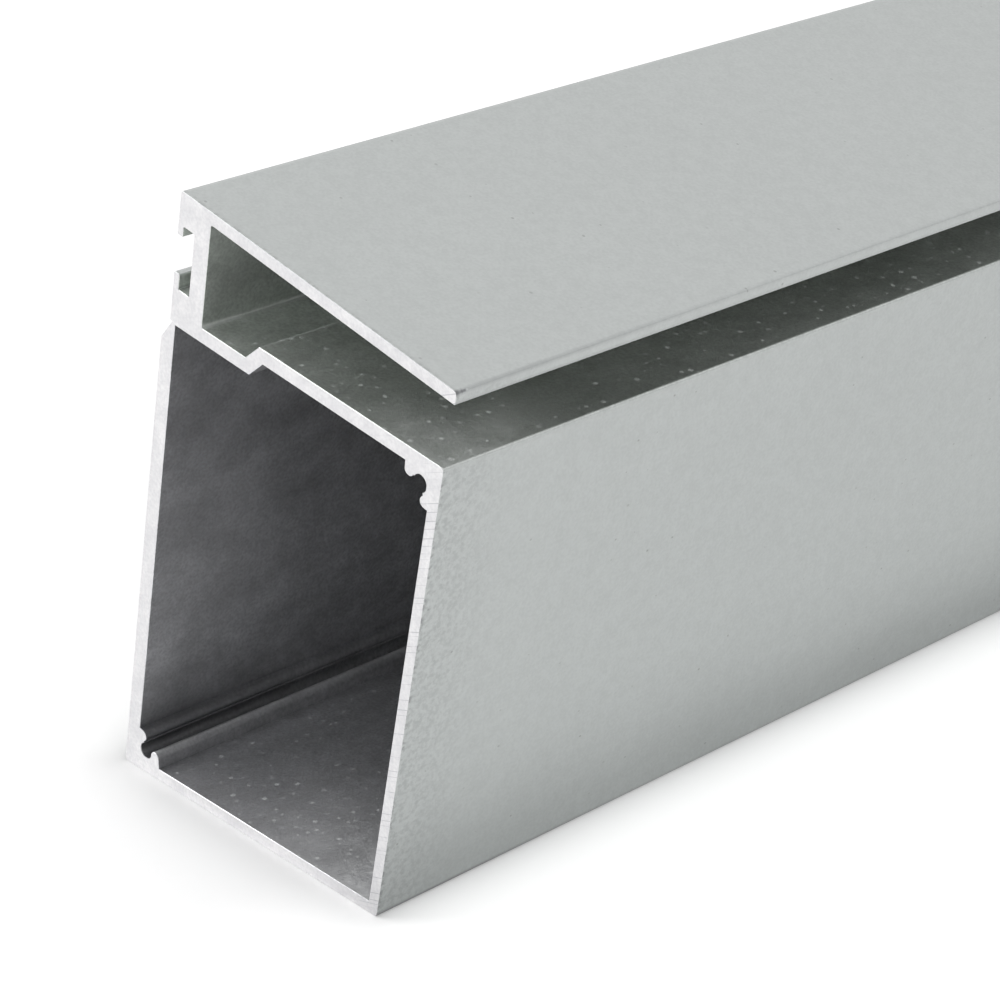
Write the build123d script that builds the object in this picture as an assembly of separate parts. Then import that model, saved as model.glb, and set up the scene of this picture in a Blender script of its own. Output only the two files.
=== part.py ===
from build123d import *
from collections import namedtuple
from math import cos, radians, sin, tan
import os

# Aluminium extrusion profile: one bar of stock, sawn square at both ends.
# The section is a four-walled box whose base is cut on a slope, a stepped
# floor over the box, a web that stands on it and a cover flange that reaches
# over the floor, so that an open channel is left between flange and floor.
# A slot with two lips runs along the back of the web, a drip groove runs
# under the slot, and two open screw ports stand in opposite corners of the
# box.
#
# Millimetres and degrees. The bar lies on its base, along Y, with Z up.
# Its origin is the middle of its own box, on the ground.
# The section is drawn upright first, with its walls along V and U across
# them. U is zero on the front face, V is zero at the toe, which is the
# front bottom corner, and both count up to the right and up. It is then
# leaned over until the base is level.

# The bar
stock_length = 1000.0

# The box
box_width = 60.0
front_height = 77.7
base_slope = 11.6
front_wall = 2.0
back_wall = 2.9
base_wall = 2.0

# The stepped floor, which rises towards the front
floor_wall = 2.3
floor_rise = 3.3
step_height = 2.9
step_setback = 38.6
ramp_angle = 46.0

# The cover flange, which falls towards the front, over the channel's mouth
channel_mouth = 9.9
flange_wall = 2.0
flange_fall = 0.8
flange_overhang = 0.3

# The web, and the lipped slot behind it
web_wall = 3.4
slot_setback = 1.7
slot_depth = 3.7
slot_mouth = 6.0
lip_wall = 1.25
upper_lip_drop = 6.9
upper_pocket = 1.65
lower_pocket = 2.4

# The drip groove, over the back wall
groove_lift = 0.3
groove_depth = 0.5
groove_bevel = 3.6

# The screw ports
port_bore = 2.6
port_gap = 2.0
lug_wall = 1.9
front_wall_lug = 1.6
floor_lug = 1.95
back_wall_lug = 1.8
base_lug = 2.6

# Rounded corners
outer_radius = 0.5
tip_radius = 0.3
root_radius = 0.3

# Bearings of the walls, counted from U towards V
UP = 90.0
DOWN = -90.0
FORWARD = 0.0
BACKWARD = 180.0
FLOOR = floor_rise
RAMP = floor_rise + ramp_angle
FLANGE = -flange_fall
BASE = base_slope

# How near a drawn corner lies to the vertex that is rounded
SAME_PLACE = 0.01


def step_from(point, bearing, distance):
    """The point reached from another by a distance on a bearing."""
    reach_u = distance * cos(radians(bearing))
    reach_v = distance * sin(radians(bearing))
    return (point[0] + reach_u, point[1] + reach_v)


def at_u(point, bearing, u):
    """The point at a given U on the line through a point on a bearing."""
    return (u, point[1] + (u - point[0]) * tan(radians(bearing)))


def crossing(point_a, bearing_a, point_b, bearing_b):
    """Where two lines meet, each a point and a bearing."""
    along_a = (cos(radians(bearing_a)), sin(radians(bearing_a)))
    along_b = (cos(radians(bearing_b)), sin(radians(bearing_b)))
    apart = (point_b[0] - point_a[0], point_b[1] - point_a[1])
    turn = along_a[0] * along_b[1] - along_a[1] * along_b[0]
    distance = (apart[0] * along_b[1] - apart[1] * along_b[0]) / turn
    return step_from(point_a, bearing_a, distance)


def filled(points):
    """A face inside a closed run of straight edges."""
    return make_face(Polyline(*points, close=True))


# The faces across U
front_face = 0.0
back_face = -box_width
front_inside = front_face - front_wall
back_inside = back_face + back_wall
slot_face = back_face + slot_setback
slot_back = slot_face + slot_depth
lip_inside = slot_face + lip_wall
channel_back = slot_back + web_wall
flange_end = front_face + flange_overhang

# The outer corners of the box and the floor
toe = (front_face, 0.0)
heel = at_u(toe, BASE, back_face)
shoulder = (front_face, front_height)
ramp_top = at_u(shoulder, FLOOR, front_face - step_setback)
ramp_foot = step_from(ramp_top, RAMP, -step_height / sin(radians(ramp_angle)))
web_foot = at_u(ramp_foot, FLOOR, channel_back)

# The corners of the flange
mouth_top = (front_face, front_height + channel_mouth)
flange_skin = step_from(mouth_top, FLANGE + UP, flange_wall)
flange_edge = at_u(mouth_top, FLANGE, flange_end)
flange_root = at_u(mouth_top, FLANGE, channel_back)
flange_tip = at_u(flange_skin, FLANGE, flange_end)
flange_back = at_u(flange_skin, FLANGE, slot_face)

# A point on each inner face of the box
base_inside = step_from(toe, BASE + UP, base_wall)
floor_inside = step_from(shoulder, FLOOR + DOWN, floor_wall)
ramp_inside = step_from(ramp_top, RAMP + DOWN, floor_wall)
low_floor_inside = step_from(ramp_foot, FLOOR + DOWN, floor_wall)

# The inner corners of the box
cavity_toe = at_u(base_inside, BASE, front_inside)
cavity_heel = at_u(base_inside, BASE, back_inside)
cavity_shoulder = at_u(floor_inside, FLOOR, front_inside)
cavity_ramp_top = crossing(floor_inside, FLOOR, ramp_inside, RAMP)
cavity_ramp_foot = crossing(ramp_inside, RAMP, low_floor_inside, FLOOR)
cavity_back = at_u(low_floor_inside, FLOOR, back_inside)

# The levels of the slot and of the groove
upper_lip_end = flange_back[1] - upper_lip_drop
slot_roof = upper_lip_end + upper_pocket
lower_lip_end = upper_lip_end - slot_mouth
slot_floor = lower_lip_end - lower_pocket
groove_top = cavity_back[1] + groove_lift
groove_end = groove_top - groove_bevel


def floor_corners():
    """The front of the box and the floor of the channel, from the toe."""
    return [toe, shoulder, ramp_top, ramp_foot, web_foot]


def flange_corners():
    """Out along the underside of the flange and back over its top."""
    return [flange_root, flange_edge, flange_tip, flange_back]


def slot_corners():
    """Down the upper lip, round the slot behind both lips and out again."""
    return [
        (slot_face, upper_lip_end),
        (lip_inside, upper_lip_end),
        (lip_inside, slot_roof),
        (slot_back, slot_roof),
        (slot_back, slot_floor),
        (lip_inside, slot_floor),
        (lip_inside, lower_lip_end),
        (slot_face, lower_lip_end),
    ]


def groove_corners():
    """In under the slot's block and down a bevel to the back wall's face."""
    return [
        (slot_face, groove_top),
        (slot_face + groove_depth, groove_top),
        (back_face, groove_end),
        heel,
    ]


def rounded(face, corners, radius):
    """A face with the named corners rounded to one radius."""
    found = [
        vertex
        for vertex in face.vertices()
        for corner in corners
        if abs(vertex.X - corner[0]) < SAME_PLACE and abs(vertex.Y - corner[1]) < SAME_PLACE
    ]
    return fillet(found, radius)


def outer_outline():
    """The whole section as one filled shape, before the box is hollowed."""
    points = floor_corners() + flange_corners() + slot_corners() + groove_corners()
    outline = Sketch() + filled(points)
    outline = rounded(outline, [toe, shoulder, heel, flange_back], outer_radius)
    outline = rounded(outline, [flange_tip, flange_edge], tip_radius)
    return rounded(outline, [web_foot, flange_root], root_radius)


def cavity():
    """The hollow of the box, under the stepped floor."""
    roof = [cavity_shoulder, cavity_ramp_top, cavity_ramp_foot, cavity_back]
    return filled(roof + [cavity_heel, cavity_toe])


# A wall beside a screw port: its bearing away from the corner, the bearing
# from it into the box, and how far its lug stands out
PortWall = namedtuple("PortWall", "along inward lug_reach")

front_port = (
    cavity_shoulder,
    PortWall(DOWN, BACKWARD, front_wall_lug),
    PortWall(FLOOR + BACKWARD, FLOOR + DOWN, floor_lug),
)
back_port = (
    cavity_heel,
    PortWall(UP, FORWARD, back_wall_lug),
    PortWall(BASE, BASE + UP, base_lug),
)


def port_centre(corner, wall_a, wall_b):
    """The middle of a port's bore, one gap from each wall."""
    line_a = step_from(corner, wall_a.inward, port_gap)
    line_b = step_from(corner, wall_b.inward, port_gap)
    return crossing(line_a, wall_a.along, line_b, wall_b.along)


def lug_root(corner, wall, centre):
    """Where a port's lug stands on its wall, just clear of the bore."""
    foot = crossing(centre, wall.inward, corner, wall.along)
    return step_from(foot, wall.along, (port_bore + lug_wall) / 2)


def lug(root, wall):
    """A short rib with a round end, let into its wall at its root."""
    embed = lug_wall / 2
    nose = wall.lug_reach - lug_wall / 2
    rib = Pos((nose - embed) / 2, 0) * Rectangle(nose + embed, lug_wall)
    tip = Pos(nose, 0) * Circle(lug_wall / 2)
    return Pos(*root) * Rot(0, 0, wall.inward) * (rib + tip)


def port_metal(corner, wall_a, wall_b):
    """A port's two lugs, and the pad that fills the corner behind its bore.

    The pad ends on the lines from the bore's middle to the middles of the
    lugs' round ends, so that the bore is open to the inside of the box.
    """
    centre = port_centre(corner, wall_a, wall_b)
    root_a = lug_root(corner, wall_a, centre)
    root_b = lug_root(corner, wall_b, centre)
    middle_a = step_from(root_a, wall_a.inward, wall_a.lug_reach - lug_wall / 2)
    middle_b = step_from(root_b, wall_b.inward, wall_b.lug_reach - lug_wall / 2)
    pad = filled([corner, root_a, middle_a, centre, middle_b, root_b])
    return pad + lug(root_a, wall_a) + lug(root_b, wall_b)


def bore(corner, wall_a, wall_b):
    """The round hole of a screw port."""
    return Pos(*port_centre(corner, wall_a, wall_b)) * Circle(port_bore / 2)


def section():
    """The section, leaned over so that its base is level."""
    upright = outer_outline() - cavity()
    upright = upright + port_metal(*front_port) + port_metal(*back_port)
    upright = upright - bore(*front_port) - bore(*back_port)
    return Rot(0, 0, -base_slope) * upright


def profile():
    """The bar, with its origin at the bottom centre of its own box."""
    face = section()
    box = face.bounding_box()
    centred = Pos(-(box.min.X + box.max.X) / 2, -box.min.Y) * face
    bar = extrude(Plane.XZ * centred, stock_length / 2, both=True)
    bar.label = "extrusion_profile"
    return bar


os.makedirs("parts", exist_ok=True)
export_step(profile(), "parts/extrusion_profile.step")
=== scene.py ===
from collections import namedtuple

import bpy
import numpy as np
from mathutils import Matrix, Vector
from mathutils.geometry import tessellate_polygon


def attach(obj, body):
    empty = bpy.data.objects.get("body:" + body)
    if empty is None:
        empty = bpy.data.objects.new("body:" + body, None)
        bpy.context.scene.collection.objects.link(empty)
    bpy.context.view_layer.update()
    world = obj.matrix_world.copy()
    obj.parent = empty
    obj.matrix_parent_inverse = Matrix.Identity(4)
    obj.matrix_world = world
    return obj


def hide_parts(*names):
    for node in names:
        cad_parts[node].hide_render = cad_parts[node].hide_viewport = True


# The looks of an aluminium extrusion profile: the drawn bar with its fine
# section, its sawn ends, and the table, light and camera round it.
# The section is worked out in millimetres in its own upright frame, with U
# across the walls and V along them, as in the part's source. It is leaned
# over, scaled to metres and carried along the bar.

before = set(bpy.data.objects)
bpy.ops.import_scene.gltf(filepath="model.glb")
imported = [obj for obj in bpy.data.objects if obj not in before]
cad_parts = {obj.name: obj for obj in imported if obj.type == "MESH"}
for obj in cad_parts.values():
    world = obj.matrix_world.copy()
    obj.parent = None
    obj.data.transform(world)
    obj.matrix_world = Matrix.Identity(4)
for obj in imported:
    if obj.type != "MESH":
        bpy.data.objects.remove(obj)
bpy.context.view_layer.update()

METRES = 0.001
SEED = 7

# The bar, in millimetres, and from its middle to its ends, in metres
bar_length = 1000.0
half_length = bar_length * METRES / 2

# The box
box_width = 60.0
front_height = 77.7
base_slope = 11.6
front_wall = 2.0
back_wall = 2.9
base_wall = 2.0

# The stepped floor
floor_wall = 2.3
floor_rise = 3.3
step_height = 2.9
step_setback = 38.6
ramp_angle = 46.0

# The cover flange
channel_mouth = 9.9
flange_wall = 2.0
flange_fall = 0.8
flange_overhang = 0.3

# The web and the lipped slot
web_wall = 3.4
slot_setback = 1.7
slot_depth = 3.7
slot_mouth = 6.0
lip_wall = 1.25
upper_lip_drop = 6.9
upper_pocket = 1.65
lower_pocket = 2.4

# The drip groove
groove_lift = 0.3
groove_depth = 0.5
groove_bevel = 3.6

# The screw ports
port_bore = 2.6
port_gap = 2.0
lug_wall = 1.9
front_wall_lug = 1.6
floor_lug = 1.95
back_wall_lug = 1.8
base_lug = 2.6

# Corner radii
outer_radius = 0.5
tip_radius = 0.3
fine_radius = 0.2
sharp = 0.0

# Bearings, counted from U towards V
UP = 90.0
DOWN = -90.0
FORWARD = 0.0
BACKWARD = 180.0
HALF_TURN = 180.0
FULL_TURN = 360.0
FLOOR = floor_rise
RAMP = floor_rise + ramp_angle
FLANGE = -flange_fall
BASE = base_slope


def heading(bearing):
    """Unit vector of a bearing: its cosine across, its sine up."""
    angle = np.radians(bearing)
    return np.array([np.cos(angle), np.sin(angle)])


def step_from(point, bearing, distance):
    """The point reached from another by a distance on a bearing."""
    return np.asarray(point) + heading(bearing) * distance


def at_u(point, bearing, u):
    """The point at a given U on the line through a point on a bearing."""
    return np.array([u, point[1] + (u - point[0]) * np.tan(np.radians(bearing))])


def crossing(point_a, bearing_a, point_b, bearing_b):
    """Where two lines meet: both lines' equations solved together."""
    lines = np.column_stack([heading(bearing_a), -heading(bearing_b)])
    reach = np.linalg.solve(lines, np.asarray(point_b) - np.asarray(point_a))
    return step_from(point_a, bearing_a, reach[0])


# The faces across U
back_face = -box_width
front_inside = -front_wall
back_inside = back_face + back_wall
slot_face = back_face + slot_setback
slot_back = slot_face + slot_depth
lip_inside = slot_face + lip_wall
channel_back = slot_back + web_wall
flange_end = flange_overhang

# The outer corners
toe = np.array([0.0, 0.0])
heel = at_u(toe, BASE, back_face)
shoulder = np.array([0.0, front_height])
ramp_top = at_u(shoulder, FLOOR, -step_setback)
ramp_foot = step_from(ramp_top, RAMP, -step_height / np.sin(np.radians(ramp_angle)))
web_foot = at_u(ramp_foot, FLOOR, channel_back)
mouth_top = np.array([0.0, front_height + channel_mouth])
flange_skin = step_from(mouth_top, FLANGE + UP, flange_wall)
flange_edge = at_u(mouth_top, FLANGE, flange_end)
flange_root = at_u(mouth_top, FLANGE, channel_back)
flange_tip = at_u(flange_skin, FLANGE, flange_end)
flange_back = at_u(flange_skin, FLANGE, slot_face)

# The corners of the box's hollow
base_inside = step_from(toe, BASE + UP, base_wall)
floor_inside = step_from(shoulder, FLOOR + DOWN, floor_wall)
ramp_inside = step_from(ramp_top, RAMP + DOWN, floor_wall)
low_floor_inside = step_from(ramp_foot, FLOOR + DOWN, floor_wall)
cavity_toe = at_u(base_inside, BASE, front_inside)
cavity_heel = at_u(base_inside, BASE, back_inside)
cavity_shoulder = at_u(floor_inside, FLOOR, front_inside)
cavity_ramp_top = crossing(floor_inside, FLOOR, ramp_inside, RAMP)
cavity_ramp_foot = crossing(ramp_inside, RAMP, low_floor_inside, FLOOR)
cavity_back = at_u(low_floor_inside, FLOOR, back_inside)

# The levels of the slot and the groove
upper_lip_end = flange_back[1] - upper_lip_drop
slot_roof = upper_lip_end + upper_pocket
lower_lip_end = upper_lip_end - slot_mouth
slot_floor = lower_lip_end - lower_pocket
groove_top = cavity_back[1] + groove_lift
groove_end = groove_top - groove_bevel

# How sheltered a point of the skin is
OUTSIDE = 0.0
IN_CHANNEL = 0.6
IN_BOX = 1.0

# A corner of the outside: its radius, the shelter of the face that follows
# it, its worn edge and painted highlight, and its painted shade
Corner = namedtuple("Corner", "place radius after rub soot", defaults=(0.0, 0.0))

# The rubbing on a corner is wear on the outer corners and a painted highlight along the ramp's top and
# the web's foot. Its darkening is painted shade: a contact shadow along the toe and the heel, shade in
# the inner corners and darker lines along some edges.
OUTER_CORNERS = (
    Corner(toe, outer_radius, OUTSIDE, soot=0.5),
    Corner(shoulder, outer_radius, IN_CHANNEL, soot=0.08),
    Corner(ramp_top, fine_radius, IN_CHANNEL, rub=1.0),
    Corner(ramp_foot, fine_radius, IN_CHANNEL, soot=0.2),
    Corner(web_foot, tip_radius, IN_CHANNEL, rub=0.8),
    Corner(flange_root, tip_radius, IN_CHANNEL, soot=0.3),
    Corner(flange_edge, tip_radius, OUTSIDE, soot=0.2),
    Corner(flange_tip, tip_radius, OUTSIDE, soot=0.24),
    Corner(flange_back, outer_radius, OUTSIDE, rub=0.4),
    Corner((slot_face, upper_lip_end), fine_radius, OUTSIDE, rub=0.4),
    Corner((lip_inside, upper_lip_end), fine_radius, IN_CHANNEL, rub=0.2),
    Corner((lip_inside, slot_roof), fine_radius, IN_CHANNEL, soot=0.4),
    Corner((slot_back, slot_roof), fine_radius, IN_CHANNEL, soot=0.4),
    Corner((slot_back, slot_floor), fine_radius, IN_CHANNEL, soot=0.4),
    Corner((lip_inside, slot_floor), fine_radius, IN_CHANNEL, soot=0.4),
    Corner((lip_inside, lower_lip_end), fine_radius, OUTSIDE, rub=0.2),
    Corner((slot_face, lower_lip_end), fine_radius, OUTSIDE, rub=0.4),
    Corner((slot_face, groove_top), fine_radius, OUTSIDE, rub=0.3),
    Corner((slot_face + groove_depth, groove_top), sharp, OUTSIDE, soot=0.5),
    Corner((back_face, groove_end), fine_radius, OUTSIDE, rub=0.3),
    Corner(heel, outer_radius, OUTSIDE, soot=0.5),
)

# A wall beside a screw port: its bearing away from the corner, the bearing
# from it into the box, its lug's reach, the painted shade at its lug's foot and how
# far that spreads along it
PortWall = namedtuple("PortWall", "along inward reach soot spread")

FRONT_PORT = (
    cavity_shoulder,
    PortWall(DOWN, BACKWARD, front_wall_lug, soot=0.35, spread=3.0),
    PortWall(FLOOR + BACKWARD, FLOOR + DOWN, floor_lug, soot=0.35, spread=3.0),
)
BACK_PORT = (
    cavity_heel,
    PortWall(UP, FORWARD, back_wall_lug, soot=0.7, spread=11.0),
    PortWall(BASE, BASE + UP, base_lug, soot=0.5, spread=3.5),
)

# Painted light round a screw port: painted shade at its first lip and at its
# second, and a painted highlight on the second lug's nose
LIP_SHADE = 0.9
BORE_SHADE = 0.5
NOSE_HIGHLIGHT = 0.4

# The points on each kind of arc
ARC_STEPS = 9
NOSE_STEPS = 13
BORE_STEPS = 37

# How far a guard point stands from its arc, and how near two points are one
GUARD_GAP = 0.45
SAME_PLACE = 1e-4


def across(vectors):
    """Vectors turned a quarter turn to their left."""
    return np.column_stack([-vectors[:, 1], vectors[:, 0]])


def unit(vectors):
    """Vectors scaled to a length of one."""
    return vectors / np.linalg.norm(vectors, axis=1, keepdims=True)


def spun(spokes, angles):
    """Each spoke turned by each of its angles: cosine and sine of both parts."""
    cosine = np.cos(angles)
    sine = np.sin(angles)
    turned_u = cosine * spokes[:, :1] - sine * spokes[:, 1:]
    turned_v = sine * spokes[:, :1] + cosine * spokes[:, 1:]
    return np.stack([turned_u, turned_v], axis=-1)


def rounded_loop(corners, radii):
    """A closed outline whose corners are arcs, each between two guard points.

    An arc starts radius * tan(turn / 2) before its corner, is centred one
    radius to the inside of the turn there, and sweeps the turn evenly. The
    guards stand a gap, or a third of the straight, outside its ends.
    """
    onward = np.roll(corners, -1, axis=0) - corners
    length = np.linalg.norm(onward, axis=1)
    out = unit(onward)
    into = np.roll(out, 1, axis=0)
    leftward = into[:, 0] * out[:, 1] - into[:, 1] * out[:, 0]
    turn = np.arctan2(leftward, np.sum(into * out, axis=1))
    run = radii * np.tan(np.abs(turn) / 2)
    gap = np.minimum(GUARD_GAP, (length - run - np.roll(run, -1)) / 3)
    before = corners - into * (run + np.roll(gap, 1))[:, None]
    after = corners + out * (run + gap)[:, None]
    start = corners - into * run[:, None]
    spoke = -across(into) * (radii * np.sign(turn))[:, None]
    angles = turn[:, None] * np.linspace(0.0, 1.0, ARC_STEPS)
    arcs = (start - spoke)[:, None] + spun(spoke, angles)
    return np.concatenate([before[:, None], arcs, after[:, None]], axis=1).reshape(-1, 2)


def arc(centre, radius, start, end, way, steps):
    """Points at even bearings from start to end, leftward if way is 1."""
    sweep = way * np.mod(way * (end - start), FULL_TURN)
    angle = np.radians(start + sweep * np.linspace(0.0, 1.0, steps))
    return centre + radius * np.column_stack([np.cos(angle), np.sin(angle)])


def bearing_of(vector):
    """The bearing of a vector, from its arc tangent."""
    return np.degrees(np.arctan2(vector[1], vector[0]))


def port_points(corner, wall_a, wall_b):
    """The inside of the box from one wall to the next, round a screw port.

    Up the first lug's side, round its nose, round the closed side of the
    bore, round the second lug's nose and down to the second wall.
    """
    line_a = step_from(corner, wall_a.inward, port_gap)
    line_b = step_from(corner, wall_b.inward, port_gap)
    centre = crossing(line_a, wall_a.along, line_b, wall_b.along)
    half = lug_wall / 2
    away = port_bore / 2 + half
    foot_a = crossing(centre, wall_a.inward, corner, wall_a.along)
    foot_b = crossing(centre, wall_b.inward, corner, wall_b.along)
    root_a = step_from(foot_a, wall_a.along, away)
    root_b = step_from(foot_b, wall_b.along, away)
    nose_a = step_from(root_a, wall_a.inward, wall_a.reach - half)
    nose_b = step_from(root_b, wall_b.inward, wall_b.reach - half)
    to_a = bearing_of(nose_a - centre)
    to_b = bearing_of(nose_b - centre)
    return np.vstack(
        [
            step_from(root_a, wall_a.along, half + wall_a.spread),
            step_from(root_a, wall_a.along, half),
            arc(nose_a, half, wall_a.along, to_a + HALF_TURN, -1, NOSE_STEPS),
            arc(centre, port_bore / 2, to_a, to_b, 1, BORE_STEPS),
            arc(nose_b, half, to_b + HALF_TURN, wall_b.along, -1, NOSE_STEPS),
            step_from(root_b, wall_b.along, half),
            step_from(root_b, wall_b.along, half + wall_b.spread),
        ]
    )


def port_highlight_and_shade(shade_a, shade_b):
    """The painted highlight and the painted shade at each of a port's points.

    The shade runs evenly from the first lug's foot to its lip, round the bore
    and over the second nose, where it falls to none before it rises again.
    The highlight on that nose is most where the shade is least.
    """
    first = np.linspace(shade_a, LIP_SHADE, NOSE_STEPS)
    bore = np.linspace(LIP_SHADE, BORE_SHADE, BORE_STEPS)
    second = np.abs(np.linspace(BORE_SHADE, -shade_b, NOSE_STEPS))
    soot = np.concatenate([[0.0, shade_a], first, bore, second, [shade_b, 0.0]])
    rub = np.zeros(len(soot))
    rub[-NOSE_STEPS - 2 : -2] = NOSE_HIGHLIGHT * (1.0 - second / second.max())
    return np.column_stack([rub, soot])


def without_doubles(points, values):
    """Points that stand apart from the one before, with their values."""
    apart = np.linalg.norm(points - np.roll(points, 1, axis=0), axis=1) > SAME_PLACE
    return points[apart], values[apart]


def outer_loop():
    """The outside of the section, leftward, with each point's finish.

    Shelter turns evenly round a corner from the face before it to the face
    after it. The worn edge, painted highlight and painted shade fade to nothing at its guards.
    """
    corners = np.array([np.asarray(row.place, float) for row in OUTER_CORNERS])
    radii, after, rub, soot = np.array([row[1:] for row in OUTER_CORNERS]).T
    points = rounded_loop(corners, radii)
    share = np.concatenate([[0.0], np.linspace(0.0, 1.0, ARC_STEPS), [1.0]])
    on_arc = np.concatenate([[0.0], np.ones(ARC_STEPS), [0.0]])
    before = np.roll(after, 1)[:, None]
    shelter = before + (after[:, None] - before) * share
    finish = np.stack([shelter, rub[:, None] * on_arc, soot[:, None] * on_arc], axis=-1)
    return without_doubles(points, finish.reshape(-1, 3))


def inner_loop():
    """The inside of the box, rightward, all of it sheltered."""
    roof = [cavity_ramp_top, cavity_ramp_foot, cavity_back]
    points = np.vstack([port_points(*FRONT_PORT), roof, port_points(*BACK_PORT), cavity_toe])
    front_port_marks, back_port_marks = (port_highlight_and_shade(a.soot, b.soot) for _, a, b in (FRONT_PORT, BACK_PORT))
    port_marks = np.vstack([front_port_marks, np.zeros((len(roof), 2)), back_port_marks, np.zeros((1, 2))])
    finish = np.column_stack([np.full(len(points), IN_BOX), port_marks])
    return without_doubles(points[::-1], finish[::-1])


def lean(points):
    """Section points turned until the base is level, in metres."""
    angle = np.radians(base_slope)
    level_x = points[:, 0] * np.cos(angle) + points[:, 1] * np.sin(angle)
    level_z = points[:, 1] * np.cos(angle) - points[:, 0] * np.sin(angle)
    return np.column_stack([level_x, level_z]) * METRES


def inset(points, distance):
    """An outline moved into the metal, along the mean of its edges' normals."""
    edge = unit(np.roll(points, -1, axis=0) - points)
    normal = unit(across(edge) + across(np.roll(edge, 1, axis=0)))
    return points + normal * distance[:, None]


# The sawn ends: how far the saw's edge break reaches, least and most, in
# metres, and how often each of its waves runs round the outline
break_low = 0.00003
break_high = 0.0001
break_waves = np.array([7, 17, 43, 97, 181, 307])

# The distance of each row of the mesh from its own end of the bar, then how
# far from the ends the even rows between them start, and their number
near_rows = METRES * np.array(
    [0.25, 0.4, 0.6, 0.8, 1.0, 1.2, 1.4, 1.6, 1.8, 2.0, 2.3, 3.0, 4.0, 8.0, 16.0, 32.0, 64.0]
)
middle_start = 0.1
middle_rows = 15

# The nicks in the tip of the flange, each its distance from the near end and
# its size in millimetres, then their depth, the share of it that is a fall,
# how abruptly they end and how much they are darkened
nicks = ((0.1, 0.65), (1.0, 0.35), (1.5, 0.3))
nick_depth = 0.12 * METRES
nick_fall = 0.5
nick_edge = 4
nick_darkening = 0.85

# The least angle of a sharp edge of the mesh
SHARP_ANGLE = 28.0


def ragged(points, rng):
    """The reach of the saw's edge break: slow waves along the outline's length."""
    gap = np.linalg.norm(points - np.roll(points, 1, axis=0), axis=1)
    along = np.cumsum(gap)
    phase = rng.uniform(0.0, 2 * np.pi, len(break_waves))
    waves = np.sin(2 * np.pi * break_waves * along[:, None] / along[-1] + phase).mean(axis=1)
    share = np.clip(0.5 + waves, 0.0, 1.0)
    return break_low + (break_high - break_low) * share


def end_rows():
    """Where the rows of the mesh stand along the bar, from the near end."""
    middle = np.linspace(-half_length + middle_start, half_length - middle_start, middle_rows)
    return np.concatenate([-half_length + near_rows, middle, (half_length - near_rows)[::-1]])


def tube(points, rng):
    """One skin of the bar: an outline carried along Y, broken at both ends.

    Two rings stand beyond the rows at each end: the outline where its edge
    break starts, and the outline moved in by the same reach on the cut.
    """
    rows = end_rows()
    body = np.empty((len(rows) + 4, len(points), 3))
    body[2:-2, :, 1] = rows[:, None]
    body[:, :, 0] = points[:, 0]
    body[:, :, 2] = points[:, 1]
    for ring, full, end in ((0, 1, -half_length), (-1, -2, half_length)):
        reach = ragged(points, rng)
        cut = inset(points, reach)
        body[ring, :, 0] = cut[:, 0]
        body[ring, :, 2] = cut[:, 1]
        body[ring, :, 1] = end
        body[full, :, 1] = end - np.sign(end) * reach
    return body


def quads(rows, count, first):
    """The faces of a tube: each point joined to the next, row by row."""
    row = np.arange(rows - 1)[:, None] * count
    here = np.arange(count)[None, :]
    after = (here + 1) % count
    corners = [row + here, row + count + here, row + count + after, row + after]
    return np.stack(corners, axis=-1).reshape(-1, 4) + first


def end_faces(outer, inner, outer_index, inner_index, towards):
    """A flat end between the two outlines, in triangles that face outwards."""
    places = np.vstack([outer, inner])
    index = np.concatenate([outer_index, inner_index])
    flat = [[(x, z, 0.0) for x, y, z in loop] for loop in (outer, inner)]
    faces = np.array(tessellate_polygon(flat))
    a, b, c = (places[faces[:, k]] for k in range(3))
    normal = np.cross(b - a, c - a)[:, 1]
    flip = normal * towards < 0
    faces[flip] = faces[flip][:, ::-1]
    return index[faces]


def nicked(body, place, finish):
    """The flange's tip pushed in and blackened: exp(-(distance / size)^4) round points."""
    bells = np.zeros(body.shape[:2])
    for from_end, size in nicks:
        end = (from_end - bar_length / 2) * METRES
        centre = np.array([place[0], end, place[1]])
        near = np.linalg.norm(body - centre, axis=2) / (size * METRES)
        bells = np.maximum(bells, np.exp(-(near**nick_edge)))
    body[:, :, 0] -= nick_depth * bells
    body[:, :, 2] -= nick_depth * bells * nick_fall
    finish[:, :, 2] = np.maximum(finish[:, :, 2], nick_darkening * bells)


def bar_skins():
    """The outer and the inner skin of the bar, each its places and its finish."""
    rng = np.random.default_rng(SEED)
    outer, outer_finish = outer_loop()
    inner, inner_finish = inner_loop()
    leaned = lean(outer)
    middle = (leaned[:, 0].min() + leaned[:, 0].max()) / 2
    shift = np.array([middle, leaned[:, 1].min()])
    outside = tube(leaned - shift, rng)
    inside = tube(lean(inner) - shift, rng)
    outer_finish = np.tile(outer_finish, (len(outside), 1, 1))
    inner_finish = np.tile(inner_finish, (len(inside), 1, 1))
    nicked(outside, (lean(flange_tip[None, :]) - shift)[0], outer_finish)
    return (outside, outer_finish), (inside, inner_finish)


def bar_faces(outside, inside):
    """The faces of both skins, and the faces of both sawn ends."""
    rows, outer_count = outside.shape[:2]
    inner_count = inside.shape[1]
    first = rows * outer_count
    skins = np.vstack([quads(rows, outer_count, 0), quads(rows, inner_count, first)])
    ends = []
    for ring, towards in ((0, -1.0), (rows - 1, 1.0)):
        outer_index = ring * outer_count + np.arange(outer_count)
        inner_index = first + ring * inner_count + np.arange(inner_count)
        ends.append(end_faces(outside[ring], inside[ring], outer_index, inner_index, towards))
    return skins.tolist(), np.vstack(ends).tolist()


def in_scene(name, data):
    """A new object in the scene that holds a mesh, a lamp or a camera."""
    made = bpy.data.objects.new(name, data)
    bpy.context.scene.collection.objects.link(made)
    return made


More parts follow.
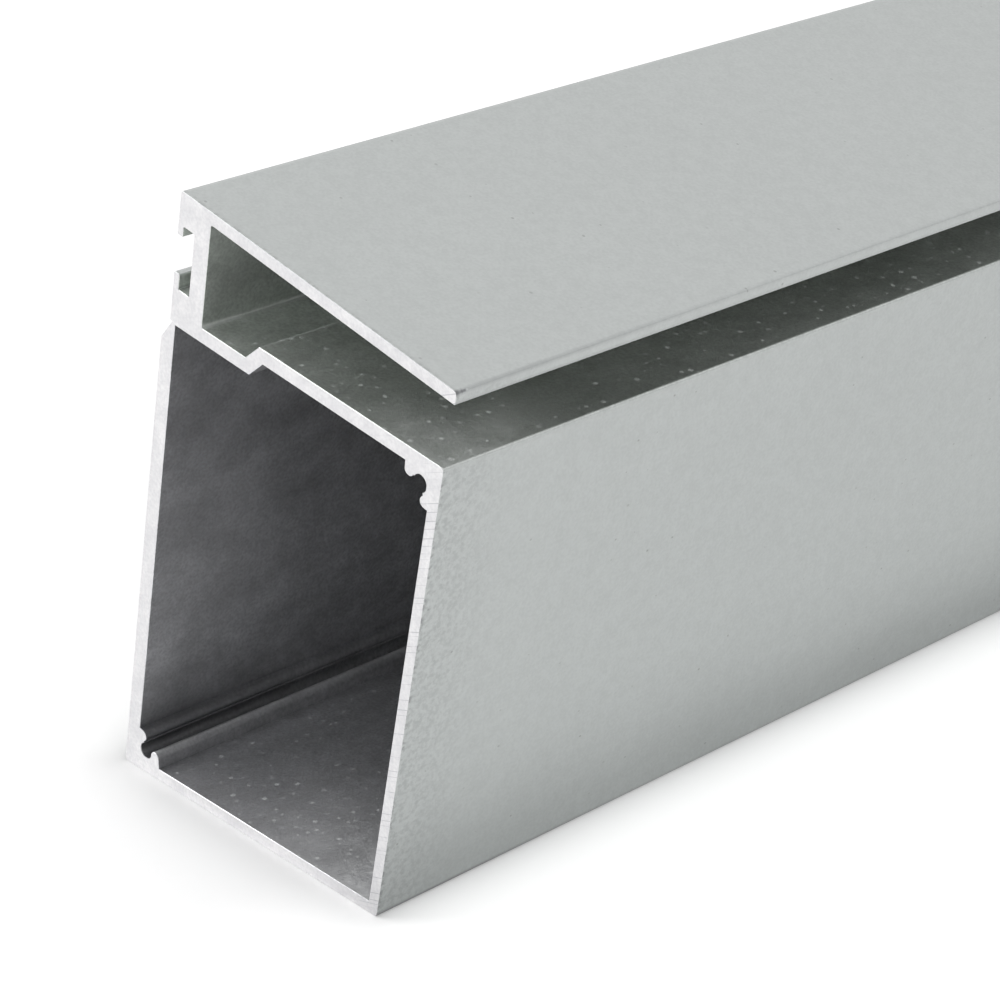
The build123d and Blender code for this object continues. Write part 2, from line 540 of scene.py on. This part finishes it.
def bar_piece(skin, cut):
    """The whole dressed bar, closed, as one mesh with two finishes."""
    (outside, outer_finish), (inside, inner_finish) = bar_skins()
    drawn, sawn = bar_faces(outside, inside)
    places = np.vstack([outside.reshape(-1, 3), inside.reshape(-1, 3)])
    mesh = bpy.data.meshes.new("dressed_profile")
    mesh.from_pydata(places.tolist(), [], drawn + sawn)
    mesh.materials.append(skin)
    mesh.materials.append(cut)
    finishes = np.repeat(np.array([0, 1], np.int32), [len(drawn), len(sawn)])
    mesh.polygons.foreach_set("material_index", finishes)
    mesh.polygons.foreach_set("use_smooth", np.ones(len(finishes), bool))
    mesh.set_sharp_from_angle(angle=np.radians(SHARP_ANGLE))
    finish = np.vstack([outer_finish.reshape(-1, 3), inner_finish.reshape(-1, 3)])
    for column, name in enumerate(("shelter", "rub", "soot")):
        layer = mesh.attributes.new(name, "FLOAT", "POINT")
        layer.data.foreach_set("value", finish[:, column])
    mesh.update()
    return in_scene("dressed_profile", mesh)


class Tree:
    """A node tree with short ways to add and join its nodes."""

    def __init__(self, tree):
        self.tree = tree

    def add(self, kind, values=None, **settings):
        """A node of a kind, with its settings and its sockets' values."""
        node = self.tree.nodes.new(kind)
        for name, value in settings.items():
            setattr(node, name, value)
        for name, value in (values or {}).items():
            self.feed(node.inputs[name], value)
        return node

    def feed(self, socket, value):
        """A socket linked to another, or set to a plain value."""
        if isinstance(value, bpy.types.NodeSocket):
            self.tree.links.new(value, socket)
        else:
            socket.default_value = value

    def maths(self, operation, *values):
        """One Math node's result."""
        return self.add("ShaderNodeMath", dict(enumerate(values)), operation=operation).outputs[0]

    def times(self, first, *others):
        """The product of some values."""
        for other in others:
            first = self.maths("MULTIPLY", first, other)
        return first

    def plus(self, first, *others):
        """The sum of some values."""
        for other in others:
            first = self.maths("ADD", first, other)
        return first

    def rest(self, share):
        """One less a share."""
        return self.maths("SUBTRACT", 1.0, share)

    def vector(self, operation, *values):
        """One Vector Math node's results."""
        return self.add("ShaderNodeVectorMath", dict(enumerate(values)), operation=operation).outputs

    def parts(self, vector):
        """A vector's X, Y and Z."""
        return self.add("ShaderNodeSeparateXYZ", {"Vector": vector}).outputs

    def blend(self, share, first, second):
        """Two colours mixed by a share."""
        node = self.add("ShaderNodeMix", {0: share}, data_type="RGBA")
        self.feed(node.inputs[6], first)
        self.feed(node.inputs[7], second)
        return node.outputs[2]

    def span(self, value, low, high, to_low=0.0, to_high=1.0):
        """A value carried smoothly from one range to another, and held there."""
        values = dict(enumerate((value, low, high, to_low, to_high)))
        return self.add("ShaderNodeMapRange", values, interpolation_type="SMOOTHSTEP").outputs[0]

    def between(self, share, first, second):
        """A value carried smoothly from one value to another by a share."""
        return self.span(share, 0.0, 1.0, first, second)

    def noise(self, where, size, detail=2.0, roughness=0.5):
        """Noise whose lumps are about a size in metres."""
        values = {"Vector": where, "Scale": 1.0 / size, "Detail": detail, "Roughness": roughness}
        return self.add("ShaderNodeTexNoise", values).outputs["Fac"]

    def stretched(self, where, stretch):
        """Coordinates multiplied along each axis."""
        return self.vector("MULTIPLY", where, stretch)[0]

    def place(self):
        """Where a point is on its object."""
        return self.add("ShaderNodeTexCoord").outputs["Object"]

    def group(self, tree, values):
        """A group's results, with its own values."""
        node = self.tree.nodes.new("ShaderNodeGroup")
        node.node_tree = tree
        for name, value in values.items():
            self.feed(node.inputs[name], value)
        return node.outputs

    def bump(self, shader, height, strength, distance):
        """A shader's normal, tilted by a height."""
        values = {"Height": height, "Strength": strength, "Distance": distance}
        node = self.add("ShaderNodeBump", values)
        self.feed(shader.inputs["Normal"], node.outputs["Normal"])


def new_group(name, inputs, outputs):
    """A shader node group with named sockets, and its own tree."""
    tree = bpy.data.node_groups.new(name, "ShaderNodeTree")
    for label, kind in inputs:
        tree.interface.new_socket(label, in_out="INPUT", socket_type=kind)
    for label, kind in outputs:
        tree.interface.new_socket(label, in_out="OUTPUT", socket_type=kind)
    nodes = Tree(tree)
    entry = nodes.add("NodeGroupInput")
    leave = nodes.add("NodeGroupOutput")
    return tree, nodes, entry.outputs, leave.inputs


FLOAT = "NodeSocketFloat"
VECTOR = "NodeSocketVector"

# Etched grain: the detail and the weight of its fine and its coarse noise,
# how much finer the fine one is, and where their sum turns light
FINE_DETAIL = 3.0
FINE_WEIGHT = 0.65
COARSE_DETAIL = 2.0
COARSE_WEIGHT = 0.35
COARSE_SCALE = 0.23
GRAIN_TONE = (0.3, 0.7)

# Slow clouds: how they are drawn out along the bar, and their noise
CLOUD_STRETCH = (1.0, 0.55, 1.0)
CLOUD_DETAIL = 5.0
CLOUD_ROUGHNESS = 0.6
CLOUD_MIDDLE = 0.5

# Fine dust: the share of a speck that is solid, and its faintest weight
SPECK_CORE = 0.5
SPECK_FAINT = 0.15


def grain_group():
    """Fine etched grain: two sizes of noise, as a height and a tone."""
    tree, nodes, given, out = new_group(
        "etched_grain", [("Place", VECTOR), ("Size", FLOAT)], [("Height", FLOAT), ("Tone", FLOAT)]
    )
    scale = nodes.maths("DIVIDE", 1.0, given["Size"])
    fine_noise = {"Vector": given["Place"], "Scale": scale, "Detail": FINE_DETAIL}
    fine = nodes.add("ShaderNodeTexNoise", fine_noise).outputs["Fac"]
    broad = nodes.times(scale, COARSE_SCALE)
    coarse_noise = {"Vector": given["Place"], "Scale": broad, "Detail": COARSE_DETAIL}
    coarse = nodes.add("ShaderNodeTexNoise", coarse_noise).outputs["Fac"]
    both = nodes.plus(nodes.times(fine, FINE_WEIGHT), nodes.times(coarse, COARSE_WEIGHT))
    nodes.feed(out["Height"], both)
    nodes.feed(out["Tone"], nodes.span(both, *GRAIN_TONE))
    return tree


def clouds_group():
    """Slow stains: noise drawn out along the bar, as a share from 0 to 1."""
    tree, nodes, given, out = new_group(
        "slow_clouds", [("Place", VECTOR), ("Size", FLOAT), ("Contrast", FLOAT)], [("Share", FLOAT)]
    )
    drawn = nodes.stretched(given["Place"], CLOUD_STRETCH)
    scale = nodes.maths("DIVIDE", 1.0, given["Size"])
    values = {"Vector": drawn, "Scale": scale, "Detail": CLOUD_DETAIL, "Roughness": CLOUD_ROUGHNESS}
    noise = nodes.add("ShaderNodeTexNoise", values).outputs["Fac"]
    low = nodes.maths("SUBTRACT", CLOUD_MIDDLE, given["Contrast"])
    high = nodes.plus(CLOUD_MIDDLE, given["Contrast"])
    nodes.feed(out["Share"], nodes.span(noise, low, high))
    return tree


def dust_group():
    """Specks: one round spot in a cell of a plane grid, some left out, as a mask."""
    tree, nodes, given, out = new_group(
        "fine_dust",
        [("Place", VECTOR), ("Spacing", FLOAT), ("Speck", FLOAT), ("Cover", FLOAT)],
        [("Mask", FLOAT)],
    )
    scale = nodes.maths("DIVIDE", 1.0, given["Spacing"])
    values = {"Vector": given["Place"], "Scale": scale}
    cells = nodes.add("ShaderNodeTexVoronoi", values, voronoi_dimensions="2D").outputs
    chance = nodes.add("ShaderNodeSeparateColor", {"Color": cells["Color"]}).outputs
    radius = nodes.times(given["Speck"], chance["Red"])
    core = nodes.times(radius, SPECK_CORE)
    spot = nodes.rest(nodes.span(cells["Distance"], core, radius))
    kept = nodes.maths("LESS_THAN", chance["Green"], given["Cover"])
    weight = nodes.between(chance["Blue"], SPECK_FAINT, 1.0)
    nodes.feed(out["Mask"], nodes.times(spot, kept, weight))
    return tree


def emptied(owner):
    """The node tree of a new material or room, without its first nodes."""
    owner.use_nodes = True
    owner.node_tree.nodes.clear()
    return Tree(owner.node_tree)


def metal(name):
    """A new material with one Principled shader, and its tree."""
    made = bpy.data.materials.new(name)
    nodes = emptied(made)
    shader = nodes.add("ShaderNodeBsdfPrincipled")
    nodes.add("ShaderNodeOutputMaterial", {"Surface": shader.outputs["BSDF"]})
    return made, nodes, shader


grain = grain_group()
clouds = clouds_group()
dust = dust_group()

# Noise is its size in metres, its detail and its roughness. A span is where
# it starts and ends, then what it goes from and to if that isn't 0 to 1.

# Where a face turns from upright to level, by how far its normal points up
LEVEL = (0.3, 0.8)

# The skin's colours, as linear light
SKIN_DARK = (0.535, 0.556, 0.549, 1.0)
SKIN_LIGHT = (0.55, 0.571, 0.564, 1.0)
SKIN_PIT = (0.2, 0.2, 0.19, 1.0)
# The channel's and the box's tones are lighter copies of the skin: painted light in the hollows
SKIN_LIT_CHANNEL = (0.80, 0.837, 0.80, 1.0)
SKIN_LIT_BOX = (0.965, 0.97, 0.99, 1.0)
# The light tone of worn corners and of the painted highlights
SKIN_WORN_AND_HIGHLIT = (0.75, 0.76, 0.75, 1.0)
BLACK = (0.0, 0.0, 0.0, 1.0)
# The dark tone of the painted shade in the corners and of the saw's grime
SHADE_AND_GRIME_TONE = (0.14, 0.14, 0.15, 1.0)
DUST = (0.66, 0.67, 0.67, 1.0)

# The skin's stains, pits, die lines and grain
SKIN_STAIN = {"Size": 0.022, "Contrast": 0.22}
PITS = {"Spacing": 0.006, "Speck": 0.05, "Cover": 0.5}
PIT_STRENGTH = 0.5
DIE_STRETCH = (1.0, 0.004, 1.0)
DIE_NOISE = (0.0007, 4.0)
DIE_HEIGHT = 0.4
SKIN_GRAIN_SIZE = 0.0005
GRAIN_HEIGHT = 0.6
GRAIN_OUTSIDE = 0.08
GRAIN_INSIDE = 0.3
SKIN_BUMP = 0.25
SKIN_BUMP_DEPTH = 0.00004

# Smoke inside the bar
SMOKE = 0.26
SMOKE_STRETCH = (1.0, 0.6, 1.0)
SMOKE_NOISE = (0.006, 5.0, 0.65)
SMOKE_SPAN = (0.3, 0.7)

# Worn corners, and a painted highlight along the fillets and the lugs' noses
WEAR_HIGHLIGHT_NOISE = (0.004, 4.0)
WEAR_HIGHLIGHT_SPAN = (0.3, 0.7, 0.3, 1.0)
BURNISH_AND_HIGHLIGHT = 0.65

# Roughness: its middle, and what stains, grain and shelter add to it
SKIN_ROUGH = 0.4
STAIN_ROUGH = 0.03
GRAIN_ROUGH = 0.05
SHELTER_ROUGH = 0.02

# Specks and a film of dust, with less of it on the walls
SPECKS = {"Spacing": 0.0021, "Speck": 0.26, "Cover": 0.8}
SPECK_FILM = 0.55
SPECK_SHELTER = 0.5
WALL_FILM = 0.1
CHANNEL_FILM = 0.13
BOX_FILM = 0.04
FILM_GRAIN = (0.7, 1.3)
PATCH_NOISE = (0.005, 3.0)
PATCH_SPAN = (0.25, 0.75, 0.5, 1.0)
DRIFT_SPAN = (0.35, 0.65, 0.1, 2.2)

# The saw's fines, partly a painted pool of light near the open end: their
# reach from the ends, and where across the bar they start and are full, each in the channel and in the
# box
FINES_AND_LIGHT = 0.8
FINES_AND_LIGHT_REACH = 0.03
FINES_AND_LIGHT_START = (0.015, -0.02)
FINES_AND_LIGHT_FULL = (0.038, 0.02)

# Painted shade in the corners, stronger towards the ends, and the saw's grime
# beside the cut, in chips and in a smear. The span of that shade, CHIPS_FROM and
# SMEAR_FROM are over metres from the middle of the bar, and OPEN_SPAN over the shelter.
CORNER_SHADE_SPAN = (0.44, 0.497, 0.3, 1.0)
SAW_SOOT = 0.3
CHIPS_FROM = (0.4992, 0.4999)
CHIP_NOISE = (0.0009, 3.0)
CHIP_SPAN = (0.45, 0.65)
SAW_SMEAR = 0.1
SMEAR_FROM = (0.482, 0.5)
MOTTLE_NOISE = (0.0009, 3.0, 0.7)
MOTTLE_SPAN = (0.42, 0.62, 0.0, 2.1)
OPEN_SPAN = (OUTSIDE, 0.1, 1.0, 0.0)

Readings = namedtuple("Readings", "place where up from_middle shelter boxed rub soot grain drawn")


def carried(nodes, name):
    """A value that the mesh carries at its points."""
    return nodes.add("ShaderNodeAttribute", attribute_name=name).outputs["Fac"]


def skin_readings(nodes):
    """What the skin's effects share: place, bearing, shelter, worn corners with painted highlights,
    painted shade and noise.
    """
    place = nodes.place()
    where = nodes.parts(place)
    normal = nodes.add("ShaderNodeNewGeometry").outputs["Normal"]
    shelter = carried(nodes, "shelter")
    return Readings(
        place=place,
        where=where,
        up=nodes.parts(normal)["Z"],
        from_middle=nodes.maths("ABSOLUTE", where["Y"]),
        shelter=shelter,
        boxed=nodes.span(shelter, IN_CHANNEL, IN_BOX),
        rub=carried(nodes, "rub"),
        soot=carried(nodes, "soot"),
        grain=nodes.group(grain, {"Place": place, "Size": SKIN_GRAIN_SIZE}),
        drawn=nodes.noise(nodes.stretched(place, SMOKE_STRETCH), *SMOKE_NOISE),
    )


def skin_pits(nodes, read):
    """Dark pits, on the skin unrolled: along the bar, and round it as X + Z."""
    round_bar = nodes.plus(read.where["X"], read.where["Z"])
    unrolled = nodes.add("ShaderNodeCombineXYZ", {"X": read.where["Y"], "Y": round_bar}).outputs[0]
    return nodes.group(dust, {"Place": unrolled, **PITS})["Mask"]


def skin_tone(nodes, read, stain, worn_and_highlighted):
    """The bare skin: stained and pitted, then its insides lightened as painted light, smoke, grain, and
    worn corners with painted highlights.
    """
    tone = nodes.blend(stain, SKIN_DARK, SKIN_LIGHT)
    tone = nodes.blend(nodes.times(skin_pits(nodes, read), PIT_STRENGTH), tone, SKIN_PIT)
    tone = nodes.blend(nodes.span(read.shelter, OUTSIDE, IN_CHANNEL), tone, SKIN_LIT_CHANNEL)
    tone = nodes.blend(read.boxed, tone, SKIN_LIT_BOX)
    smoky = nodes.span(read.shelter, OUTSIDE, IN_BOX, 0.0, SMOKE)
    tone = nodes.blend(nodes.times(nodes.span(read.drawn, *SMOKE_SPAN), smoky), tone, BLACK)
    shade = nodes.span(read.shelter, OUTSIDE, IN_CHANNEL, GRAIN_OUTSIDE, GRAIN_INSIDE)
    tone = nodes.blend(nodes.times(read.grain["Tone"], shade), tone, BLACK)
    return nodes.blend(worn_and_highlighted, tone, SKIN_WORN_AND_HIGHLIT)


def skin_fines_and_light(nodes, read):
    """The saw's fines, partly a painted pool of light: most at the ends of the bar and towards its
    front.
    """
    near_end = nodes.span(read.from_middle, half_length - FINES_AND_LIGHT_REACH, half_length)
    start = nodes.between(read.boxed, *FINES_AND_LIGHT_START)
    full = nodes.between(read.boxed, *FINES_AND_LIGHT_FULL)
    return nodes.times(near_end, nodes.span(read.where["X"], start, full), FINES_AND_LIGHT)


def skin_film(nodes, read, lying):
    """A grainy film of dust and fines, which lies in patches and drifts; the fines are partly painted
    light.
    """
    patches = nodes.span(nodes.noise(read.place, *PATCH_NOISE), *PATCH_SPAN)
    grainy = nodes.between(read.grain["Tone"], *FILM_GRAIN)
    drifts = nodes.times(nodes.span(read.drawn, *DRIFT_SPAN), BOX_FILM)
    thin = nodes.between(read.boxed, CHANNEL_FILM, drifts)
    settled = nodes.times(lying, read.shelter, patches, grainy)
    return nodes.times(settled, nodes.plus(skin_fines_and_light(nodes, read), thin))


def skin_cover(nodes, read, worn_and_highlighted):
    """How much of the metal is dulled, by specks, film and burnished corners, part of which is a
    painted highlight along the fillets and the lugs' noses.
    """
    lying = nodes.span(read.up, *LEVEL, WALL_FILM, 1.0)
    inside = nodes.maths("GREATER_THAN", read.shelter, SPECK_SHELTER)
    specks = nodes.group(dust, {"Place": read.place, **SPECKS})["Mask"]
    dusty = nodes.times(specks, SPECK_FILM, lying, inside)
    burnish_and_highlight = nodes.times(worn_and_highlighted, read.shelter, BURNISH_AND_HIGHLIGHT)
    return nodes.maths("MINIMUM", nodes.plus(dusty, skin_film(nodes, read, lying), burnish_and_highlight), 1.0)


def saw_grime(nodes, read):
    """Chips of grime at the cut and a mottled smear beside it, on open faces."""
    chips = nodes.span(nodes.noise(read.place, *CHIP_NOISE), *CHIP_SPAN)
    chipped = nodes.times(nodes.span(read.from_middle, *CHIPS_FROM, 0.0, SAW_SOOT), chips)
    mottle = nodes.span(nodes.noise(read.place, *MOTTLE_NOISE), *MOTTLE_SPAN)
    smear = nodes.span(read.from_middle, *SMEAR_FROM, 0.0, SAW_SMEAR)
    upright = nodes.span(read.up, *LEVEL, 1.0, 0.0)
    open_face = nodes.span(read.shelter, *OPEN_SPAN)
    return nodes.times(nodes.plus(chipped, nodes.times(smear, mottle, upright)), open_face)


def skin_shade_and_grime(nodes, read):
    """The darker of the painted shade in the corners and the saw's grime."""
    corners = nodes.times(read.soot, nodes.span(read.from_middle, *CORNER_SHADE_SPAN))
    return nodes.maths("MAXIMUM", corners, saw_grime(nodes, read))


def skin_roughness(nodes, read, stain):
    """How matt the skin is, from its stains, its grain and its shelter."""
    stained = nodes.between(stain, SKIN_ROUGH - STAIN_ROUGH, SKIN_ROUGH + STAIN_ROUGH)
    grained = nodes.times(read.grain["Tone"], GRAIN_ROUGH)
    return nodes.plus(stained, grained, nodes.times(read.shelter, SHELTER_ROUGH))


def skin_material():
    """Matt natural anodised skin, with what time and the saw did to it, and painted light: shade in its
    corners and bores, highlights on its fillets and lug noses, lighter hollows and a lighter film near
    the open end.
    """
    made, nodes, shader = metal("anodised_skin")
    read = skin_readings(nodes)
    stain = nodes.group(clouds, {"Place": read.place, **SKIN_STAIN})["Share"]
    worn_and_highlighted = nodes.times(read.rub, nodes.span(nodes.noise(read.place, *WEAR_HIGHLIGHT_NOISE), *WEAR_HIGHLIGHT_SPAN))
    soot = skin_shade_and_grime(nodes, read)
    tone = nodes.blend(soot, skin_tone(nodes, read, stain, worn_and_highlighted), SHADE_AND_GRIME_TONE)
    cover = nodes.times(skin_cover(nodes, read, worn_and_highlighted), nodes.rest(soot))
    nodes.feed(shader.inputs["Base Color"], nodes.blend(cover, tone, DUST))
    nodes.feed(shader.inputs["Metallic"], nodes.rest(cover))
    nodes.feed(shader.inputs["Roughness"], skin_roughness(nodes, read, stain))
    lines = nodes.noise(nodes.stretched(read.place, DIE_STRETCH), *DIE_NOISE)
    height = nodes.plus(nodes.times(read.grain["Height"], GRAIN_HEIGHT), nodes.times(lines, DIE_HEIGHT))
    nodes.bump(shader, height, SKIN_BUMP, SKIN_BUMP_DEPTH)
    return made


# The sawn metal's colours, stains and grain
CUT_DARK = (0.755, 0.75, 0.76, 1.0)
CUT_LIGHT = (0.85, 0.843, 0.845, 1.0)
CUT_GRAIN = (0.60, 0.60, 0.62, 1.0)
CUT_SCORE = (0.35, 0.36, 0.38, 1.0)
CUT_STAIN = {"Size": 0.0035, "Contrast": 0.25}
CUT_GRAIN_SIZE = 0.00055
CUT_GRAIN_SHARE = 0.55
CUT_GRAIN_HEIGHT = 0.3
CUT_BUMP = 0.4
CUT_BUMP_DEPTH = 0.00008

# The blade: its middle, and the arcs that its teeth leave round it
BLADE_CENTRE = (-0.163, 0.0, 0.608)
TEETH_NOISE = (0.0009, 6.0, 0.7)
TEETH_HEIGHT = 0.7
TEETH_ROUGH = (0.3, 0.7, 0.42, 0.58)

# Score lines, in patches, faint over most of the end and strong on the front
# wall. SCORE_WALL is over metres across the bar, with the wall's lean taken
# out: it rises as the wall starts.
SCORE_SPACING = 0.0009
SCORE_WIDTH = 0.085
SCORE_CORE = 0.5
SCORE_NOISE = (0.004, 2.0)
SCORE_PATCHES = (0.35, 0.5, 0.3, 1.0)
SCORE_WALL = (0.0165, 0.0185, 0.03, 0.48)


def score_lines(nodes, place, from_blade):
    """Dark lines round the blade's middle, one in each cell of a line grid."""
    values = {"W": from_blade, "Scale": 1.0 / SCORE_SPACING}
    cells = nodes.add("ShaderNodeTexVoronoi", values, voronoi_dimensions="1D").outputs
    chance = nodes.add("ShaderNodeSeparateColor", {"Color": cells["Color"]}).outputs
    width = nodes.times(chance["Red"], SCORE_WIDTH)
    line = nodes.span(cells["Distance"], nodes.times(width, SCORE_CORE), width, 1.0, 0.0)
    patches = nodes.span(nodes.noise(place, *SCORE_NOISE), *SCORE_PATCHES)
    where = nodes.parts(place)
    leaning = nodes.times(where["Z"], -np.tan(np.radians(base_slope)))
    front = nodes.span(nodes.plus(where["X"], leaning), *SCORE_WALL)
    return nodes.times(line, patches, front)


def cut_material():
    """Bright sawn metal: the blade's arcs and score lines, grain and a few stains."""
    made, nodes, shader = metal("sawn_metal")
    place = nodes.place()
    fine = nodes.group(grain, {"Place": place, "Size": CUT_GRAIN_SIZE})
    stain = nodes.group(clouds, {"Place": place, **CUT_STAIN})["Share"]
    from_blade = nodes.vector("DISTANCE", place, BLADE_CENTRE)["Value"]
    path = nodes.add("ShaderNodeCombineXYZ", {"X": from_blade}).outputs[0]
    teeth = nodes.noise(path, *TEETH_NOISE)
    tone = nodes.blend(stain, CUT_DARK, CUT_LIGHT)
    tone = nodes.blend(nodes.times(fine["Tone"], CUT_GRAIN_SHARE), tone, CUT_GRAIN)
    scored = score_lines(nodes, place, from_blade)
    nodes.feed(shader.inputs["Base Color"], nodes.blend(scored, tone, CUT_SCORE))
    shader.inputs["Metallic"].default_value = 1.0
    nodes.feed(shader.inputs["Roughness"], nodes.span(teeth, *TEETH_ROUGH))
    height = nodes.plus(nodes.times(teeth, TEETH_HEIGHT), nodes.times(fine["Height"], CUT_GRAIN_HEIGHT))
    nodes.bump(shader, height, CUT_BUMP, CUT_BUMP_DEPTH)
    return made


profile = bar_piece(skin_material(), cut_material())
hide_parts("extrusion_profile")
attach(profile, "root")

# The table, and the footprint of the bar's base on it
FLOOR_HALF = 8.0
FLOOR_TONE = (0.9, 0.9, 0.9, 1.0)
BASE_CENTRE = (-0.0091, 0.0, 0.0)
BASE_HALF = (0.0306, 0.5, 1.0)
NOWHERE = (0.0, 0.0, 0.0)

# The glow that lifts the table to white. Each pair is for the open side of
# the bar and for its shaded side, and SIDES is where one turns into the
# other. The glow is least at the base and clears outwards, which paints the
# shadow's falloff round the base on top of the real shadow; it is held up far away.
SIDES = (0.0, 0.03)
LEAST_LIFT = (0.0, 0.11)
CLEAR_LIFT = (0.37, 0.57)
SHADOW_REACH = 0.006
FAR_LIFT = (0.05, 0.3, 0.0, 0.6)

# The glow as the bar mirrors it, least at the base and full at its reach: a painted shadow in the table
# that the bar mirrors
GLOSS_LEAST = (0.35, 0.0)
GLOSS_REACH = (0.006, 0.021)
GLOSS_LIFT = 0.4


def mirrored_ray(nodes, path):
    """One where a ray comes from a gloss or through a clear body."""
    return nodes.maths("MAXIMUM", path["Is Glossy Ray"], path["Is Transmission Ray"])


def from_base(nodes, place):
    """How far a place is from the base: the length of its offset past the half size."""
    offset = nodes.vector("SUBTRACT", place, BASE_CENTRE)[0]
    folded = nodes.vector("ABSOLUTE", offset)[0]
    beyond = nodes.vector("SUBTRACT", folded, BASE_HALF)[0]
    outside = nodes.vector("MAXIMUM", beyond, NOWHERE)[0]
    return nodes.vector("LENGTH", outside)["Value"]


def seen_glow_with_painted_shadow(nodes, side, reach):
    """The glow as the camera sees it, painting the shadow round the base: it clears by 1 - exp(-reach /
    shadow's reach).
    """
    least = nodes.span(side, *SIDES, *LEAST_LIFT)
    most = nodes.span(side, *SIDES, *CLEAR_LIFT)
    fading = nodes.maths("EXPONENT", nodes.times(reach, -1.0 / SHADOW_REACH))
    gain = nodes.times(nodes.rest(fading), nodes.maths("SUBTRACT", most, least))
    return nodes.maths("MAXIMUM", nodes.plus(least, gain), nodes.span(reach, *FAR_LIFT))


def mirrored_glow_with_painted_shadow(nodes, side, reach):
    """The glow as the bar mirrors it, painting the shadow round the base."""
    full_at = nodes.span(side, *SIDES, *GLOSS_REACH)
    least = nodes.span(side, *SIDES, *GLOSS_LEAST)
    return nodes.span(reach, 0.0, full_at, least, GLOSS_LIFT)


def floor_material():
    """White paper: it takes the real shadow and is lifted to white where seen, by a glow that paints
    the shadow's falloff round the base.
    """
    made = bpy.data.materials.new("white_table")
    nodes = emptied(made)
    place = nodes.place()
    reach = from_base(nodes, place)
    side = nodes.parts(place)["X"]
    path = nodes.add("ShaderNodeLightPath").outputs
    direct = nodes.times(path["Is Camera Ray"], seen_glow_with_painted_shadow(nodes, side, reach))
    mirrored = nodes.times(mirrored_ray(nodes, path), mirrored_glow_with_painted_shadow(nodes, side, reach))
    paper = nodes.add("ShaderNodeBsdfDiffuse", {"Color": FLOOR_TONE})
    glow = nodes.add("ShaderNodeEmission", {"Strength": nodes.plus(direct, mirrored)})
    both = nodes.add("ShaderNodeAddShader", {0: paper.outputs[0], 1: glow.outputs[0]})
    nodes.add("ShaderNodeOutputMaterial", {"Surface": both.outputs[0]})
    return made


def floor_piece():
    """A flat square under the bar, its four corners level with its base."""
    corners = np.array([[-1, -1, 0], [1, -1, 0], [1, 1, 0], [-1, 1, 0]]) * FLOOR_HALF
    mesh = bpy.data.meshes.new("table")
    mesh.from_pydata(corners.tolist(), [], [[0, 1, 2, 3]])
    mesh.materials.append(floor_material())
    table = in_scene("table", mesh)


# The room: its strength as a light, and its strength as the bar mirrors it,
# from the horizon up to a height
WHITE = (1.0, 1.0, 1.0, 1.0)
ROOM_FILL = 0.5
ROOM_MIRRORED = (0.0, 0.6, 0.52, 1.0)


def room():
    """A white room: plain white where it is seen, dimmer as a light."""
    world = bpy.data.worlds.new("white_room")
    nodes = emptied(world)
    way = nodes.add("ShaderNodeTexCoord").outputs["Generated"]
    mirrored = nodes.span(nodes.parts(way)["Z"], *ROOM_MIRRORED)
    path = nodes.add("ShaderNodeLightPath").outputs
    dim = nodes.between(mirrored_ray(nodes, path), ROOM_FILL, mirrored)
    strength = nodes.maths("MAXIMUM", dim, path["Is Camera Ray"])
    light = nodes.add("ShaderNodeBackground", {"Color": WHITE, "Strength": strength})
    nodes.add("ShaderNodeOutputWorld", {"Surface": light.outputs[0]})
    bpy.context.scene.world = world


def softbox(name, place, aim, size, power):
    """A square lamp at a place, turned to face a point."""
    lamp = bpy.data.lights.new(name, "AREA")
    lamp.shape = "SQUARE"
    lamp.size = size
    lamp.energy = power
    light = in_scene(name, lamp)
    way = Vector(aim) - Vector(place)
    light.location = place
    light.rotation_euler = way.to_track_quat("-Z", "Y").to_euler()


floor_piece()
room()
softbox("left_softbox", place=(-1.7, -1.6, 1.3), aim=(0.0, -0.45, 0.05), size=1.6, power=26.0)
softbox("right_softbox", place=(1.5, -0.95, 0.85), aim=(0.0, -0.45, 0.06), size=1.1, power=8.0)

# The camera, found from the photo's straight edges. It is placed from the
# toe of the near end, which lies this far in front of the bar's middle.
lens = 105.0
sensor = 36.0
camera_tilt = 64.916
camera_turn = 47.483
camera_from_toe = (0.27372, -0.22679, 0.23252)
toe_forward = 0.02144
nearest_seen = 0.01
farthest_seen = 50.0


def camera():
    """The photo's view of the near end, from beside the bar and above it."""
    data = bpy.data.cameras.new("camera")
    data.lens = lens
    data.sensor_width = sensor
    data.clip_start = nearest_seen
    data.clip_end = farthest_seen
    view = in_scene("camera", data)
    across_bar, along_bar, up = camera_from_toe
    view.location = (toe_forward + across_bar, along_bar - half_length, up)
    view.rotation_euler = (np.radians(camera_tilt), 0.0, np.radians(camera_turn))
    bpy.context.scene.camera = view


camera()
bpy.context.scene.view_settings.view_transform = "Standard"
